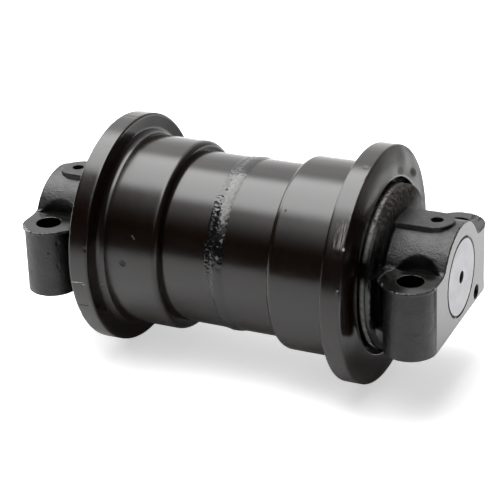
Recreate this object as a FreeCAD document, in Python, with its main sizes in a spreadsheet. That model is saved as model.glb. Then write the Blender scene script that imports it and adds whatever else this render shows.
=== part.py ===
import FreeCAD, Part
import os
import re

import Sketcher

# Bottom roller of a tracked excavator.  The origin is the middle of the roller on its axis, the axis is
# +Y, and +Z points away from the flat faces that bolt to the track frame.  Each end carries the same
# pieces, so most functions are called once per end, turned half a turn about Z for the left one.

os.makedirs("parts", exist_ok=True)
doc = FreeCAD.newDocument("track_roller")

DIMENSIONS = [
    # shell, the rolling part: radii from the axis and distances from the middle
    ("flange_radius", 95.0),
    ("flange_inner", 98.9),
    ("flange_outer", 115.1),
    ("flange_edge_round", 1.5),
    ("face_radius", 82.0),
    ("face_y", 119.4),
    ("tread_radius", 78.0),
    ("tread_start", 46.5),
    ("tread_end", 98.3),
    ("tread_edge_round", 5.0),
    ("flange_root_round", 6.0),
    ("waist_radius", 70.0),
    ("recess_radius", 70.0),
    ("recess_floor", 106.0),
    ("recess_chamfer", 1.0),
    # weld that joins the two half shells
    ("weld_half_width", 7.0),
    ("weld_root_radius", 62.0),
    ("weld_height", 1.2),
    # oil cavity and bushes
    ("cavity_radius", 46.5),
    ("bush_flange_radius", 46.0),
    ("bush_flange_start", 12.2),
    ("bush_flange_end", 17.2),
    ("bush_outer_radius", 37.5),
    ("bush_end", 92.0),
    ("running_clearance", 0.05),
    # shaft
    ("journal_radius", 32.5),
    ("journal_end", 100.0),
    ("shoulder_radius", 42.0),
    ("shoulder_half_length", 12.0),
    ("seat_radius", 31.3),
    ("end_y", 177.65),
    ("shaft_chamfer", 1.0),
    ("gallery_radius", 3.5),
    ("port_radius", 5.0),
    ("port_floor", 160.0),
    ("centre_depth", 6.0),
    # duo-cone seals, mirrored about the plane where the metal rings rub
    ("seal_plane", 107.0),
    ("seal_face_gap", 0.05),
    ("seal_ring_bore", 39.0),
    ("seal_ring_radius", 49.5),
    ("seal_lip", 2.45),
    ("seal_ring_depth", 9.0),
    ("seal_nose_radius", 42.3),
    ("seal_neck_radius", 44.6),
    ("pocket_mouth_radius", 54.0),
    ("pocket_floor_radius", 50.0),
    ("pocket_depth", 11.0),
    ("toric_centre_radius", 47.45),
    ("toric_section_radius", 4.05),
    ("toric_offset", 7.0),
    # static O-ring between shaft and collar
    ("oring_y", 124.0),
    ("oring_groove_half_width", 2.2),
    ("oring_groove_depth", 3.0),
    ("oring_section_radius", 1.48),
    # end collars
    ("disc_radius", 65.5),
    ("disc_inner", 108.0),
    ("disc_inner_chamfer", 2.0),
    ("disc_rim_y", 125.5),
    ("disc_rim_round", 4.0),
    ("disc_step_radius", 60.3),
    ("disc_step", 1.1),
    ("disc_bevel_radius", 55.5),
    ("disc_face", 129.3),
    ("barrel_radius", 43.5),
    ("barrel_chamfer", 1.2),
    ("barrel_root_round", 2.5),
    ("bolt_x", 55.2),
    ("bolt_y", 156.3),
    ("bolt_hole_radius", 10.25),
    ("ear_radius", 21.5),
    ("ear_top", 19.0),
    ("ear_lip", 3.0),
    ("boss_radius", 21.3),
    ("boss_draft", 1.4),
    ("block_half_width", 57.8),
    ("web_half_width", 40.0),
    ("mount_plane", 38.5),
    ("scallop_radius", 23.0),
    ("tongue_half_width", 15.0),
    ("tongue_top", 45.5),
    ("tongue_end_y", 157.0),
    ("jig_hole_x", 37.0),
    ("jig_hole_z", 30.3),
    ("jig_hole_radius", 5.8),
    ("jig_hole_depth", 14.0),
    # dowel that locks each collar on the shaft
    ("dowel_y", 158.0),
    ("dowel_radius", 4.75),
    ("dowel_foot", 12.0),
    ("dowel_top", 39.0),
    # oil plug
    ("plug_start", 165.0),
    ("plug_length", 9.5),
    ("plug_radius", 4.9),
    ("plug_groove_y", 167.6),
    ("plug_groove_half_width", 1.0),
    ("plug_groove_depth", 1.3),
    ("plug_oring_section", 0.7),
    ("plug_socket", 2.9),
    ("plug_socket_depth", 4.5),
]

sheet = doc.addObject("Spreadsheet::Sheet", "dims")
for row, (alias, number) in enumerate(DIMENSIONS, start=1):
    sheet.set(f"A{row}", alias)
    sheet.set(f"B{row}", str(number))
    sheet.setAlias(f"B{row}", alias)
doc.recompute()
ALIASES = {alias for alias, number in DIMENSIONS}


def bound(text):
    """Expression text with each dimension's name pointing at the sheet."""
    return re.sub(r"[a-z_]+", lambda word: "dims." + word[0] if word[0] in ALIASES else word[0], text)


def value(text):
    """Number that an expression on the sheet has now."""
    return float(sheet.evalExpression(bound(text)))


def new_body(label, side=1):
    """Empty body; side -1 turns it half a turn about Z, to the left end."""
    body = doc.addObject("PartDesign::Body", label)
    body.Label = label
    turn = 0 if side > 0 else 180
    body.Placement = FreeCAD.Placement(FreeCAD.Vector(), FreeCAD.Rotation(FreeCAD.Vector(0, 0, 1), turn))
    return body


def new_sketch(body, name, plane, level="0"):
    """Sketch on one of the body's own origin planes, moved out along its normal by level."""
    sketch = body.newObject("Sketcher::SketchObject", f"{body.Name}_{name}")
    support = next(item for item in body.Origin.OriginFeatures if item.Role == plane)
    sketch.AttachmentSupport = (support, [""])
    sketch.MapMode = "FlatFace"
    sketch.setExpression("AttachmentOffset.Base.z", bound(level))
    return sketch


def pin_point(sketch, geometry, point, corner):
    """Hold a sketch point at two expressions measured from the origin."""
    axes = (("DistanceX", -2), ("DistanceY", -1))
    for (kind, axis), text in zip(axes, corner):
        if value(text) == 0:
            sketch.addConstraint(Sketcher.Constraint("PointOnObject", geometry, point, axis))
        else:
            distance = Sketcher.Constraint(kind, -1, 1, geometry, point, value(text))
            index = sketch.addConstraint(distance)
            sketch.setExpression(f"Constraints[{index}]", bound(text))


def polygon(body, name, plane, corners, level="0"):
    """Closed outline of straight lines through the corners."""
    sketch = new_sketch(body, name, plane, level)
    points = [FreeCAD.Vector(value(across), value(along), 0) for across, along in corners]
    count = len(points)
    lines = [Part.LineSegment(points[i], points[(i + 1) % count]) for i in range(count)]
    sketch.addGeometry(lines, False)
    for i in range(count):
        sketch.addConstraint(Sketcher.Constraint("Coincident", i, 2, (i + 1) % count, 1))
    for i, corner in enumerate(corners):
        pin_point(sketch, i, 1, corner)
    return sketch


def circles(body, name, plane, centres, radius, level="0"):
    """Outline of equal circles, one round each centre."""
    sketch = new_sketch(body, name, plane, level)
    for i, centre in enumerate(centres):
        middle = FreeCAD.Vector(value(centre[0]), value(centre[1]), 0)
        circle = Part.Circle(middle, FreeCAD.Vector(0, 0, 1), value(radius))
        sketch.addGeometry(circle, False)
        pin_point(sketch, i, 3, centre)
        index = sketch.addConstraint(Sketcher.Constraint("Radius", i, value(radius)))
        sketch.setExpression(f"Constraints[{index}]", bound(radius))
    return sketch


def checked(body, feature, adds):
    """Recompute the body and stop if the feature changed no volume, or changed it the wrong way."""
    base = feature.BaseFeature.Shape.Volume if feature.BaseFeature else 0.0
    doc.recompute()
    change = feature.Shape.Volume - base
    if (change > 1e-3) != adds or abs(change) < 1e-3:
        raise RuntimeError(f"{feature.Name} changes the volume by {change:.3f} mm3")
    body.Tip = feature
    return feature


def turned(body, sketch, cut=False):
    """Revolve an outline drawn as (radius, distance along the axis) round the roller's axis."""
    kind = "Groove" if cut else "Revolution"
    feature = body.newObject(f"PartDesign::{kind}", f"{sketch.Name}_{kind}")
    feature.Profile = sketch
    feature.ReferenceAxis = (sketch, ["V_Axis"])
    feature.Angle = 360
    sketch.Visibility = False
    return checked(body, feature, adds=not cut)


def padded(body, sketch, length, down=False, taper=None):
    """Pad an outline along its plane's normal, or against it."""
    feature = body.newObject("PartDesign::Pad", f"{sketch.Name}_Pad")
    feature.Profile = sketch
    feature.Reversed = down
    feature.setExpression("Length", bound(length))
    if taper:
        feature.setExpression("TaperAngle", bound(taper))
    return checked(body, feature, adds=True)


def pocketed(body, sketch, depth, up=False):
    """Cut an outline against its plane's normal, or along it."""
    feature = body.newObject("PartDesign::Pocket", f"{sketch.Name}_Pocket")
    feature.Profile = sketch
    feature.Reversed = up
    feature.setExpression("Length", bound(depth))
    return checked(body, feature, adds=False)


def ring_edges(feature, rings):
    """Names of the circular edges about the roller's axis at each (radius, distance) pair."""
    names = []
    wanted = [(value(radius), value(along)) for radius, along in rings]
    for number, edge in enumerate(feature.Shape.Edges, start=1):
        curve = edge.Curve
        if not isinstance(curve, Part.Circle) or abs(abs(curve.Axis.y) - 1) > 1e-6:
            continue
        for radius, along in wanted:
            if abs(curve.Radius - radius) < 1e-4 and abs(curve.Center.y - along) < 1e-4:
                names.append(f"Edge{number}")
    if len(names) < len(wanted):
        raise RuntimeError(f"{feature.Name}: only {len(names)} of {len(wanted)} rings found")
    return names


def rounded(body, rings, radius, name):
    """Fillet the ring edges of the body so far."""
    base = body.Tip
    feature = body.newObject("PartDesign::Fillet", f"{body.Name}_{name}")
    feature.Base = (base, ring_edges(base, rings))
    feature.setExpression("Radius", bound(radius))
    doc.recompute()
    body.Tip = feature


def bevelled(body, rings, size, name):
    """Chamfer the ring edges of the body so far."""
    base = body.Tip
    feature = body.newObject("PartDesign::Chamfer", f"{body.Name}_{name}")
    feature.Base = (base, ring_edges(base, rings))
    feature.setExpression("Size", bound(size))
    doc.recompute()
    body.Tip = feature


def half_shell(label, side):
    """Half of the forged roller shell: waist, tread, flange, seal recess and bush bore."""
    body = new_body(label, side)
    profile = [
        ("cavity_radius", "0"),
        ("cavity_radius", "bush_flange_end"),
        ("bush_outer_radius", "bush_flange_end"),
        ("bush_outer_radius", "recess_floor - pocket_depth"),
        ("pocket_floor_radius", "recess_floor - pocket_depth"),
        ("pocket_mouth_radius", "recess_floor"),
        ("recess_radius", "recess_floor"),
        ("recess_radius", "face_y"),
        ("face_radius", "face_y"),
        ("flange_radius", "flange_outer"),
        ("flange_radius", "flange_inner"),
        ("tread_radius", "tread_end"),
        ("tread_radius", "tread_start"),
        ("waist_radius", "tread_start"),
        ("waist_radius", "weld_half_width"),
        ("weld_root_radius", "0"),
    ]
    turned(body, polygon(body, "profile", "XY_Plane", profile))
    rims = [("flange_radius", "flange_inner"), ("flange_radius", "flange_outer")]
    rounded(body, rims, "flange_edge_round", "rim_rounds")
    rounded(body, [("tread_radius", "tread_end")], "flange_root_round", "flange_root")
    rounded(body, [("tread_radius", "tread_start")], "tread_edge_round", "tread_edge")
    bevelled(body, [("recess_radius", "face_y")], "recess_chamfer", "recess_edge")
    return body


def weld_bead(label):
    """Ring of weld metal that fills the groove between the half shells and stands a little proud."""
    body = new_body(label)
    profile = [
        ("weld_root_radius", "0"),
        ("waist_radius", "weld_half_width"),
        ("waist_radius + weld_height * 0.75", "weld_half_width * 0.6"),
        ("waist_radius + weld_height", "0"),
        ("waist_radius + weld_height * 0.75", "-weld_half_width * 0.6"),
        ("waist_radius", "-weld_half_width"),
    ]
    turned(body, polygon(body, "profile", "XY_Plane", profile))
    return body


def flanged_bush(label, side):
    """Bimetal bush pressed into a half shell; its flange takes the thrust of the shaft's shoulder."""
    body = new_body(label, side)
    bore = "journal_radius + running_clearance"
    profile = [
        (bore, "bush_flange_start"),
        ("bush_flange_radius", "bush_flange_start"),
        ("bush_flange_radius", "bush_flange_end"),
        ("bush_outer_radius", "bush_flange_end"),
        ("bush_outer_radius", "bush_end"),
        (bore, "bush_end"),
    ]
    turned(body, polygon(body, "profile", "XY_Plane", profile))
    return body


def shaft(label):
    """Fixed shaft: thrust shoulder, journals, collar seats, O-ring grooves, dowel seats and oil ways."""
    body = new_body(label)
    groove_radius = "seat_radius - oring_groove_depth"
    upper = [
        ("shoulder_radius", "shoulder_half_length"),
        ("journal_radius", "shoulder_half_length"),
        ("journal_radius", "journal_end"),
        ("seat_radius", "journal_end"),
        ("seat_radius", "oring_y - oring_groove_half_width"),
        (groove_radius, "oring_y - oring_groove_half_width"),
        (groove_radius, "oring_y + oring_groove_half_width"),
        ("seat_radius", "oring_y + oring_groove_half_width"),
        ("seat_radius", "end_y - shaft_chamfer"),
        ("seat_radius - shaft_chamfer", "end_y"),
    ]
    lower = [(radius, f"-({along})") for radius, along in upper]
    profile = [("0", "-end_y")] + lower[::-1] + upper + [("0", "end_y")]
    turned(body, polygon(body, "profile", "XY_Plane", profile))
    oil_way = [
        ("0", "0"),
        ("gallery_radius", "0"),
        ("gallery_radius", "port_floor"),
        ("port_radius", "port_floor"),
        ("port_radius", "end_y"),
        ("0", "end_y"),
    ]
    turned(body, polygon(body, "oil_way", "XY_Plane", oil_way), cut=True)
    lathe_centre = [("0", "-end_y"), ("port_radius", "-end_y"), ("0", "centre_depth - end_y")]
    turned(body, polygon(body, "lathe_centre", "XY_Plane", lathe_centre), cut=True)
    cross_hole = circles(body, "cross_hole", "YZ_Plane", [("0", "0")], "gallery_radius", "shoulder_radius")
    pocketed(body, cross_hole, "2 * shoulder_radius")
    seats = [("0", "dowel_y"), ("0", "-dowel_y")]
    dowels = circles(body, "dowel_seats", "XY_Plane", seats, "dowel_radius", "seat_radius")
    pocketed(body, dowels, "seat_radius - dowel_foot")
    return body


def end_collar(label, side):
    """Cast end collar: seal disc and barrel round the shaft, and two ears with bolt bosses."""
    body = new_body(label, side)
    spindle = [
        ("0", "disc_inner"),
        ("disc_radius - disc_inner_chamfer", "disc_inner"),
        ("disc_radius", "disc_inner + disc_inner_chamfer"),
        ("disc_radius", "disc_rim_y"),
        ("disc_step_radius", "disc_rim_y"),
        ("disc_step_radius", "disc_rim_y + disc_step"),
        ("disc_bevel_radius", "disc_face"),
        ("barrel_radius", "disc_face"),
        ("barrel_radius", "end_y - barrel_chamfer"),
        ("barrel_radius - barrel_chamfer", "end_y"),
        ("0", "end_y"),
    ]
    turned(body, polygon(body, "spindle", "XY_Plane", spindle))
    rounded(body, [("disc_radius", "disc_rim_y")], "disc_rim_round", "disc_rim")
    rounded(body, [("barrel_radius", "disc_face")], "barrel_root_round", "barrel_root")

    ears = [("bolt_x", "bolt_y"), ("-bolt_x", "bolt_y")]
    floor = "-mount_plane"
    height = "mount_plane + ear_top"
    web = [
        ("-web_half_width", "disc_face - 1"),
        ("web_half_width", "disc_face - 1"),
        ("web_half_width", "end_y"),
        ("-web_half_width", "end_y"),
    ]
    padded(body, polygon(body, "web", "XY_Plane", web, floor), height)
    block = [
        ("-block_half_width", "bolt_y"),
        ("block_half_width", "bolt_y"),
        ("block_half_width", "end_y"),
        ("-block_half_width", "end_y"),
    ]
    padded(body, polygon(body, "block", "XY_Plane", block, floor), height)
    bosses = circles(body, "bosses", "XY_Plane", ears, "boss_radius", floor)
    padded(body, bosses, height, taper="-boss_draft")

    # The machined ear pads: round over each bolt, with a straight edge at 45 degrees back to the disc.
    corner = "ear_radius * 0.70711"
    reach = f"bolt_x + {corner} - (bolt_y - {corner} - disc_face + 1)"
    plate = [
        (f"-({reach})", "disc_face - 1"),
        (reach, "disc_face - 1"),
        (f"bolt_x + {corner}", f"bolt_y - {corner}"),
        ("block_half_width", "bolt_y"),
        ("block_half_width", "end_y"),
        ("-block_half_width", "end_y"),
        ("-block_half_width", "bolt_y"),
        (f"-bolt_x - {corner}", f"bolt_y - {corner}"),
    ]
    padded(body, polygon(body, "plate", "XY_Plane", plate, "ear_top"), "ear_lip", down=True)
    pads = circles(body, "ear_pads", "XY_Plane", ears, "end_y - bolt_y", "ear_top")
    padded(body, pads, "ear_lip", down=True)

    # Flat faces that bolt to the track frame.
    under = [
        ("-block_half_width", "disc_face"),
        ("block_half_width", "disc_face"),
        ("block_half_width", "end_y + 1"),
        ("-block_half_width", "end_y + 1"),
    ]
    pocketed(body, polygon(body, "underside", "XY_Plane", under, floor), "barrel_radius")

    # Room for the bolt heads and a spanner, then the bolt holes.
    scallops = circles(body, "scallops", "XY_Plane", ears, "scallop_radius", "barrel_radius")
    pocketed(body, scallops, "barrel_radius - ear_top")
    holes = circles(body, "bolt_holes", "XY_Plane", ears, "bolt_hole_radius", "ear_top")
    pocketed(body, holes, height)

    # Flat tongue on top, where the dowel goes in.
    tongue = [
        ("-tongue_half_width", "disc_face - 1"),
        ("tongue_half_width", "disc_face - 1"),
        ("tongue_half_width", "tongue_end_y"),
        ("-tongue_half_width", "tongue_end_y"),
    ]
    depth = "tongue_top - seat_radius - 1"
    padded(body, polygon(body, "tongue", "XY_Plane", tongue, "tongue_top"), depth, down=True)
    nose = circles(body, "tongue_nose", "XY_Plane", [("0", "tongue_end_y")], "tongue_half_width", "tongue_top")
    padded(body, nose, depth, down=True)

    bore = [
        ("0", "disc_inner"),
        ("pocket_mouth_radius", "disc_inner"),
        ("pocket_floor_radius", "disc_inner + pocket_depth"),
        ("seat_radius", "disc_inner + pocket_depth"),
        ("seat_radius", "end_y - shaft_chamfer"),
        ("seat_radius + shaft_chamfer", "end_y"),
        ("0", "end_y"),
    ]
    turned(body, polygon(body, "bore", "XY_Plane", bore), cut=True)
    dowel = circles(body, "dowel_hole", "XY_Plane", [("0", "dowel_y")], "dowel_radius", "tongue_top")
    pocketed(body, dowel, "tongue_top")
    # The origin's XZ plane faces -Y, so its level is negative and a pocket from it runs towards +Y.
    jig_centre = [("-jig_hole_x", "-jig_hole_z")]
    jig = circles(body, "jig_hole", "XZ_Plane", jig_centre, "jig_hole_radius", "-end_y")
    pocketed(body, jig, "jig_hole_depth", up=True)
    return body


def metal_seal_ring(label, side, fixed):
    """Cast-iron seal ring: lapped face, lip and the ramp that the rubber ring presses on."""
    body = new_body(label, side)
    outward = "+" if fixed else "-"

    def back(distance):
        return f"seal_plane {outward} ({distance})"

    profile = [
        ("seal_ring_bore", back("seal_face_gap")),
        ("seal_ring_radius", back("seal_face_gap")),
        ("seal_ring_radius", back("seal_face_gap + seal_lip")),
        ("seal_neck_radius", back("seal_face_gap + seal_lip")),
        ("seal_nose_radius", back("seal_ring_depth")),
        ("seal_ring_bore", back("seal_ring_depth")),
    ]
    turned(body, polygon(body, "profile", "XY_Plane", profile))
    return body


def rubber_ring(label, along, ring_radius, section_radius):
    """Round-section rubber ring about the roller's axis."""
    torus = doc.addObject("Part::Torus", label)
    torus.Label = label
    torus.setExpression("Radius1", bound(ring_radius))
    torus.setExpression("Radius2", bound(section_radius))
    lying = FreeCAD.Rotation(FreeCAD.Vector(1, 0, 0), 90)
    torus.Placement = FreeCAD.Placement(FreeCAD.Vector(), lying)
    torus.setExpression("Placement.Base.y", bound(along))
    return torus


def dowel_pin(label, along):
    """Solid pin through the top of a collar into the shaft."""
    pin = doc.addObject("Part::Cylinder", label)
    pin.Label = label
    pin.setExpression("Radius", bound("dowel_radius"))
    pin.setExpression("Height", bound("dowel_top - dowel_foot"))
    pin.setExpression("Placement.Base.y", bound(along))
    pin.setExpression("Placement.Base.z", bound("dowel_foot"))
    return pin


def oil_plug(label):
    """Plug in the shaft's oil port, with a hexagon socket and a groove for its own O-ring."""
    body = new_body(label)
    groove_radius = "plug_radius - plug_groove_depth"
    profile = [
        ("0", "plug_start"),
        ("plug_radius", "plug_start"),
        ("plug_radius", "plug_groove_y - plug_groove_half_width"),
        (groove_radius, "plug_groove_y - plug_groove_half_width"),
        (groove_radius, "plug_groove_y + plug_groove_half_width"),
        ("plug_radius", "plug_groove_y + plug_groove_half_width"),
        ("plug_radius", "plug_start + plug_length"),
        ("0", "plug_start + plug_length"),
    ]
    turned(body, polygon(body, "profile", "XY_Plane", profile))
    half, tall = "plug_socket * 0.5", "plug_socket * 0.86603"
    hexagon = [
        ("plug_socket", "0"),
        (half, tall),
        (f"-{half}", tall),
        ("-plug_socket", "0"),
        (f"-{half}", f"-{tall}"),
        (half, f"-{tall}"),
    ]
    socket = polygon(body, "socket", "XZ_Plane", hexagon, "-(plug_start + plug_length)")
    pocketed(body, socket, "plug_socket_depth", up=True)
    return body


nodes = [shaft("shaft"), weld_bead("centre_weld_bead"), oil_plug("oil_fill_plug")]
plug_ring_radius = "plug_radius - plug_groove_depth + plug_oring_section"
nodes.append(rubber_ring("oil_plug_oring", "plug_groove_y", plug_ring_radius, "plug_oring_section"))
for end, side in (("left", -1), ("right", 1)):
    sign = "" if side > 0 else "-"
    nodes.append(half_shell(f"shell_half_{end}", side))
    nodes.append(flanged_bush(f"bush_{end}", side))
    nodes.append(end_collar(f"end_collar_{end}", side))
    nodes.append(metal_seal_ring(f"seal_ring_rotating_{end}", side, fixed=False))
    nodes.append(metal_seal_ring(f"seal_ring_fixed_{end}", side, fixed=True))
    toric = ("toric_centre_radius", "toric_section_radius")
    nodes.append(rubber_ring(f"toric_rotating_{end}", f"{sign}(seal_plane - toric_offset)", *toric))
    nodes.append(rubber_ring(f"toric_fixed_{end}", f"{sign}(seal_plane + toric_offset)", *toric))
    oring_radius = "seat_radius - oring_groove_depth + oring_section_radius"
    oring = rubber_ring(f"shaft_oring_{end}", f"{sign}oring_y", oring_radius, "oring_section_radius")
    nodes.append(oring)
    nodes.append(dowel_pin(f"collar_dowel_{end}", f"{sign}dowel_y"))

doc.recompute()
for item in doc.Objects:
    if {"Invalid", "Error"} & set(item.State):
        raise RuntimeError(f"{item.Name} is {item.State}")
for node in nodes:
    if node.Shape.isNull() or not node.Shape.isValid():
        raise RuntimeError(f"{node.Label} has no valid shape")
for node in nodes:
    node.Shape.exportStep(f"parts/{node.Label}.step")
    print(f"{node.Label}: {node.Shape.Volume / 1000:.2f} cm3")
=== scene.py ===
import math

import bpy
import numpy as np
from mathutils import Matrix, Vector


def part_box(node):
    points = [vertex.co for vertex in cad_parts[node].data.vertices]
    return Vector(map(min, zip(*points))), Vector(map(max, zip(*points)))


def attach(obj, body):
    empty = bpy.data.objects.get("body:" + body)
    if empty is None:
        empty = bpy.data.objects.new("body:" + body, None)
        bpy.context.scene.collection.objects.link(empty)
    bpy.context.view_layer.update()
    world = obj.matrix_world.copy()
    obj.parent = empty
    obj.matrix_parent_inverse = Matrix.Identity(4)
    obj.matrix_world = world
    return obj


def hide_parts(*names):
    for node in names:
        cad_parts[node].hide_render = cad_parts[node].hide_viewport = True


# Looks of a double-flange track roller.  The CAD frame gives sizes and places.  The shell halves, the weld
# and the two cast collars are rebuilt here as finer meshes; the pieces inside keep their CAD shapes.
# Lengths are in millimetres until a mesh is made, and +Y runs along the roller's axis to its right end.

MM = 0.001
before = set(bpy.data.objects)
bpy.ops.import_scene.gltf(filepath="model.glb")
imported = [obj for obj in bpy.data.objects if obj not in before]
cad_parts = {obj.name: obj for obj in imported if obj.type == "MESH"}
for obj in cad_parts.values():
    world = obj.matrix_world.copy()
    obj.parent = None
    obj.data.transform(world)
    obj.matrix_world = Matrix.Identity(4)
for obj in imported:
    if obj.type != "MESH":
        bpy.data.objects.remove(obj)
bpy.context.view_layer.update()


def node_size(node, axis):
    """Largest coordinate of a CAD node along X, Y or Z, in millimetres."""
    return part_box(node)[1]["XYZ".index(axis)] / MM


# Driving sizes read from the frame.
FLANGE = node_size("shell_half_right", "X")
FACE_Y = node_size("shell_half_right", "Y")
END_Y = node_size("shaft", "Y")
DISC = node_size("end_collar_right", "Z")
EAR_REACH = node_size("end_collar_right", "X")

# Shell: radii from the axis, and distances from the middle.
TREAD, WAIST = FLANGE - 17, FLANGE - 25
FLANGE_INNER, FLANGE_OUTER = FACE_Y - 20.5, FACE_Y - 4.3
FACE_RADIUS, RECESS, RECESS_FLOOR = FLANGE - 13, FLANGE - 25, FACE_Y - 13.4
TREAD_START, TREAD_END = 46.5, 98.3
WELD_HALF = 7.0
CAVITY, BUSH_BORE, BUSH_SEAT_Y, BUSH_END_Y = 46.5, 37.5, 17.2, 95.0
POCKET_MOUTH, POCKET_FLOOR = 54.0, 50.0
SHELL_SEGMENTS, WELD_SEGMENTS, WELD_ROWS = 480, 1100, 34
WELD_LEFT, WELD_RIGHT = -8.6, 7.6

# Worn places of the shell, and where it has dust and a painted lighter top: degrees round the axis from +X
# towards +Z, and distance from the middle.
RUBBED_PHI, RUBBED_Y = 37, 109.5
DUST_AND_LIGHT_FROM, DUST_AND_LIGHT_TO = 47, 170
BARE_FROM, BARE_TO = 35, 76
FLECKS_FROM, FLECKS_TO = 8, 32

# Collar: places from the middle, radii, and heights of the faces square to Z.
EAR = 21.35
BOLT_X, BOLT_Y = EAR_REACH - EAR, END_Y - EAR
PAD_TOP, PAD_LIP, MOUNT_PLANE = 19.0, 3.0, -38.5
SHAFT_SEAT = 31.3
DISC_INNER, DISC_FACE = 108.0, 129.3
BARREL = 43.5
BOLT_HOLE, BOSS, HEAD_ROOM, DRAFT = 10.25, 21.3, 23, math.radians(1.4)
WEB_HALF, BLOCK_HALF = 40, 57.8
TONGUE_TOP, TONGUE_HALF, TONGUE_NOSE_Y = 45.5, 15.0, 157.0
DOWEL_Y, DOWEL_HOLE = 158.0, 4.75
FACE_HOLE_X, FACE_HOLE_Z, FACE_HOLE, FACE_HOLE_DEPTH = -37, -30.3, 5.8, 14


# ---------------------------------------------------------------- noise

def lumps(points, size, seed):
    """Smooth random field from -1 to 1 whose lumps are about size across."""
    cells = 64
    table = np.random.default_rng(seed).uniform(-1, 1, (cells, cells, cells))
    scaled = points / size
    base = np.floor(scaled).astype(int)
    part = scaled - base
    part = part * part * (3 - 2 * part)
    total = np.zeros(len(points))
    for corner in range(8):
        step = np.array([corner & 1, corner >> 1 & 1, corner >> 2])
        weight = np.prod(np.where(step, part, 1 - part), axis=1)
        i, j, k = ((base + step) % cells).T
        total += weight * table[i, j, k]
    return total


# ---------------------------------------------------------------- turned meshes

def arc_corner(before, corner, after, radius, steps):
    """Points of the arc that rounds a corner of an outline."""
    to_before = (before - corner) / np.linalg.norm(before - corner)
    to_after = (after - corner) / np.linalg.norm(after - corner)
    half = math.acos(np.clip(to_before @ to_after, -1, 1)) / 2
    middle = (to_before + to_after) / np.linalg.norm(to_before + to_after)
    centre = corner + middle * radius / math.sin(half)
    start = corner + to_before * radius / math.tan(half) - centre
    end = corner + to_after * radius / math.tan(half) - centre
    sweep = math.pi - 2 * half
    points = []
    for t in np.linspace(0, 1, steps + 1):
        blend = (math.sin((1 - t) * sweep) * start + math.sin(t * sweep) * end) / math.sin(sweep)
        points.append(centre + blend)
    return points


def outline(corners, spacing):
    """Closed outline through (radius, y, rounding) corners, with points at most spacing apart."""
    places = [np.array(corner[:2], float) for corner in corners]
    count = len(corners)
    points = []
    for i in range(count):
        rounding = corners[i][2]
        if rounding:
            steps = max(4, min(24, round(rounding * 3)))
            points += arc_corner(places[i - 1], places[i], places[(i + 1) % count], rounding, steps)
        else:
            points.append(places[i])
    dense = []
    for i, start in enumerate(points):
        end = points[(i + 1) % len(points)]
        pieces = max(1, math.ceil(np.linalg.norm(end - start) / spacing))
        dense += [start + (end - start) * k / pieces for k in range(pieces)]
    return np.array(dense)


def finish_mesh(name, points, faces, sharp_angle):
    """Object from points in millimetres, shaded smooth except over sharp edges."""
    mesh = bpy.data.meshes.new(name)
    mesh.from_pydata(points * MM, [], faces.tolist())
    mesh.update()
    mesh.shade_smooth()
    mesh.set_sharp_from_angle(angle=math.radians(sharp_angle))
    obj = bpy.data.objects.new(name, mesh)
    bpy.context.scene.collection.objects.link(obj)
    return obj


def turned(profile, segments, side):
    """Points and quads of a closed (radius, y) profile turned about the axis."""
    rows = len(profile)
    turn = np.linspace(0, 2 * math.pi, segments, endpoint=False)
    radius = np.repeat(profile[:, :1], segments, axis=1)
    along = np.repeat(profile[:, 1:] * side, segments, axis=1)
    points = np.stack([radius * np.cos(turn), along, radius * np.sin(turn)], axis=-1)
    i, j = np.meshgrid(np.arange(rows), np.arange(segments), indexing="ij")
    i2, j2 = (i + 1) % rows, (j + 1) % segments
    corners = [i * segments + j, i2 * segments + j, i2 * segments + j2, i * segments + j2]
    if side < 0:
        corners.reverse()
    return points.reshape(-1, 3), np.stack(corners, axis=-1).reshape(-1, 4)


def set_attribute(obj, name, values):
    """Store one number per vertex for the material to read."""
    attribute = obj.data.attributes.new(name, "FLOAT", "POINT")
    attribute.data.foreach_set("value", values.astype(np.float32))


# ---------------------------------------------------------------- solids from distance fields

def union(a, b, fillet=0.0):
    """Union of two distance fields, with a fillet in the corner between them."""
    if not fillet:
        return np.minimum(a, b)
    spread = np.hypot(np.maximum(fillet - a, 0), np.maximum(fillet - b, 0))
    return np.maximum(fillet, np.minimum(a, b)) - spread


def common(a, b, rounding=0.0):
    """What two distance fields share, with its edge rounded."""
    return -union(-a, -b, rounding)


def minus(a, b, rounding=0.0):
    """The first field with the second cut out of it."""
    return common(a, -b, rounding)


def between(value, low, high):
    """Distance to a slab."""
    return np.maximum(low - value, value - high)


def in_outline(u, v, corners):
    """Distance to a closed outline of straight lines, negative inside."""
    nearest = np.full(np.broadcast(u, v).shape, 1e9)
    inside = np.zeros(nearest.shape, bool)
    for (u0, v0), (u1, v1) in zip(corners, corners[1:] + corners[:1]):
        du, dv = u1 - u0, v1 - v0
        t = np.clip(((u - u0) * du + (v - v0) * dv) / (du * du + dv * dv), 0, 1)
        nearest = np.minimum(nearest, (u - u0 - t * du) ** 2 + (v - v0 - t * dv) ** 2)
        if dv:
            inside ^= ((v0 > v) != (v1 > v)) & (u < u0 + (v - v0) * du / dv)
    return np.where(inside, -1, 1) * np.sqrt(nearest)


def slope(field, points, width=0.02):
    """Unit gradients of a field at some points."""
    gradient = np.empty_like(points)
    for axis in range(3):
        offset = np.zeros(3)
        offset[axis] = width
        ahead, behind = points + offset, points - offset
        gradient[:, axis] = field(*ahead.T) - field(*behind.T)
    return gradient / np.maximum(np.linalg.norm(gradient, axis=1, keepdims=True), 1e-9)


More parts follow.
